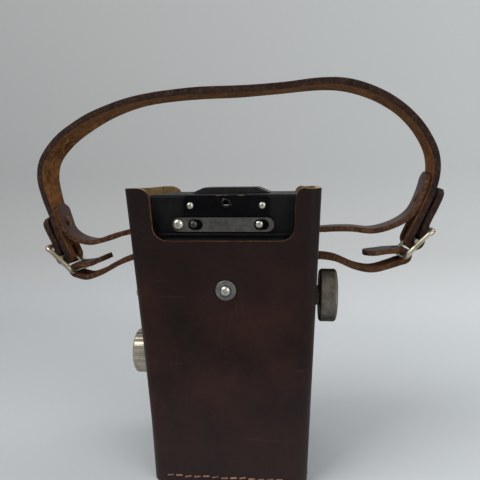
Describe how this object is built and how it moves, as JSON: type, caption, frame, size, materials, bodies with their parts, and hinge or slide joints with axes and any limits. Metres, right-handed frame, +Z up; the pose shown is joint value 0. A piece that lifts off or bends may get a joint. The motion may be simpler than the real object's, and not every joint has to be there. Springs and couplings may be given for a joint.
{
  "type": "stereo camera",
  "caption": "Upright stereo roll-film camera in a brown leather half case, with side winding and focusing wheels, back latch bar and a buckled carrying strap.",
  "frame": {"origin": "middle of the flat underside of the leather case, which the camera stands on", "axes": "+Z up; +Y the way the lenses look; +X towards the winding knob"},
  "size_m": [0.201, 0.0712, 0.1952],
  "materials": {
    "case_leather": "smooth dark brown hide, slightly waxy",
    "strap_leather": "worn brown strap hide with a tan flesh side",
    "black_paint": "gloss black enamel, worn to brass on edges",
    "nickel": "dull nickel plate",
    "zinc": "zinc plate",
    "gunmetal": "dark grey satin metal",
    "brass": "turned brass",
    "blackened": "matt blackened metal",
    "glass": "coated optical glass",
    "bakelite": "black moulded ring"
  },
  "bodies": {
    "root": {"case_wrap": "case_leather", "case_bottom": "case_leather", "case_washer": "zinc", "case_screw": "nickel", "case_screw_plate": "zinc", "strap_anchor_left": "strap_leather", "strap_anchor_right": "strap_leather", "body_shell": "black_paint", "tripod_bush": "brass", "front_cover": "black_paint", "finder_window": "glass", "back_door": "black_paint", "pressure_plate": "blackened", "supply_pin_left": "nickel", "supply_pin_right": "nickel", "film_gate": "blackened", "light_septum": "blackened", "film_bar_upper": "nickel", "film_bar_lower": "nickel", "winder_plate": "nickel", "shutter_plate": "blackened", "finder_back_plate": "black_paint", "finder_eyepiece": "bakelite", "finder_hood": "gunmetal", "plate_screw_left": "nickel", "plate_screw_right": "nickel", "latch_guide_screw_left": "nickel", "latch_guide_screw_right": "nickel"},
    "carry_strap": {"strap_main": "strap_leather", "strap_tab_left_upper": "strap_leather", "strap_tab_left_lower": "strap_leather", "strap_tab_right_upper": "strap_leather", "strap_tab_right_lower": "strap_leather", "buckle_left": "nickel", "buckle_right": "nickel", "strap_rivet_left": "nickel", "strap_rivet_right": "nickel"},
    "prong_left": {"buckle_prong_left": "nickel"},
    "prong_right": {"buckle_prong_right": "nickel"},
    "door_latch": {"latch_bar": "gunmetal", "latch_thumb_screw": "nickel"},
    "winder": {"winding_knob": "nickel", "winding_shaft": "nickel", "ratchet_wheel": "brass", "take_up_spool": "blackened"},
    "pawl": {"ratchet_pawl": "nickel"},
    "pull_pin": {"spool_pull_pin": "nickel"},
    "focus_drive": {"focus_wheel": "nickel", "focus_shaft": "nickel", "focus_pinion": "brass"},
    "lens_panel": {"lens_board": "gunmetal", "focus_rack": "brass", "lens_barrel_left": "nickel", "lens_barrel_right": "nickel", "lens_glass_left": "glass", "lens_glass_right": "glass"},
    "aperture_left": {"aperture_ring_left": "blackened"},
    "aperture_right": {"aperture_ring_right": "blackened"},
    "release": {"release_lever": "nickel"},
    "shutter": {"shutter_blade": "blackened"}
  },
  "joints": [
    {"name": "strap_swing", "type": "hinge", "parent": "root", "child": "carry_strap", "pos_m": [0, 0, 0.1191], "axis": [1, 0, 0], "range_deg": [-60, 60]},
    {"name": "prong_left_turn", "type": "hinge", "parent": "carry_strap", "child": "prong_left", "pos_m": [-0.0892, 0, 0.1115], "axis": [0, -1, 0], "range_deg": [0, 12]},
    {"name": "prong_right_turn", "type": "hinge", "parent": "carry_strap", "child": "prong_right", "pos_m": [0.0892, 0, 0.1205], "axis": [0, 1, 0], "range_deg": [0, 12]},
    {"name": "latch_slide", "type": "slide", "parent": "root", "child": "door_latch", "axis": [-1, 0, 0], "range_m": [0, 0.0022]},
    {"name": "winding_turn", "type": "hinge", "parent": "root", "child": "winder", "pos_m": [0.04, -0.013, 0.0945], "axis": [1, 0, 0], "continuous": true},
    {"name": "pawl_lift", "type": "hinge", "parent": "root", "child": "pawl", "pos_m": [0.0375, -0.01928, 0.10254], "axis": [1, 0, 0], "range_deg": [0, 10], "stiffness_Nm_per_rad": 0.004},
    {"name": "spool_pin_pull", "type": "slide", "parent": "root", "child": "pull_pin", "axis": [-1, 0, 0], "range_m": [0, 0.006], "stiffness_N_per_m": 120},
    {"name": "focus_turn", "type": "hinge", "parent": "root", "child": "focus_drive", "pos_m": [-0.04, -0.011, 0.0626], "axis": [-1, 0, 0], "range_deg": [0, 52.9]},
    {"name": "focus_slide", "type": "slide", "parent": "root", "child": "lens_panel", "axis": [0, 1, 0], "range_m": [0, 0.0024]},
    {"name": "aperture_left_turn", "type": "hinge", "parent": "lens_panel", "child": "aperture_left", "pos_m": [-0.016, 0.0267, 0.0626], "axis": [0, 1, 0], "range_deg": [0, 40]},
    {"name": "aperture_right_turn", "type": "hinge", "parent": "lens_panel", "child": "aperture_right", "pos_m": [0.016, 0.0267, 0.0626], "axis": [0, 1, 0], "range_deg": [0, 40]},
    {"name": "release_press", "type": "hinge", "parent": "root", "child": "release", "pos_m": [0.0265, 0.0315, 0.1], "axis": [0, -1, 0], "range_deg": [0, 18.02], "stiffness_Nm_per_rad": 0.02},
    {"name": "shutter_travel", "type": "slide", "parent": "root", "child": "shutter", "axis": [1, 0, 0], "range_m": [0, 0.008]}
  ],
  "couplings": [
    {"joint": "focus_turn", "follows": "focus_slide", "rad_per_m": 384.62},
    {"joint": "aperture_right_turn", "follows": "aperture_left_turn", "ratio": 1},
    {"joint": "release_press", "follows": "shutter_travel", "rad_per_m": 39.277}
  ]
}
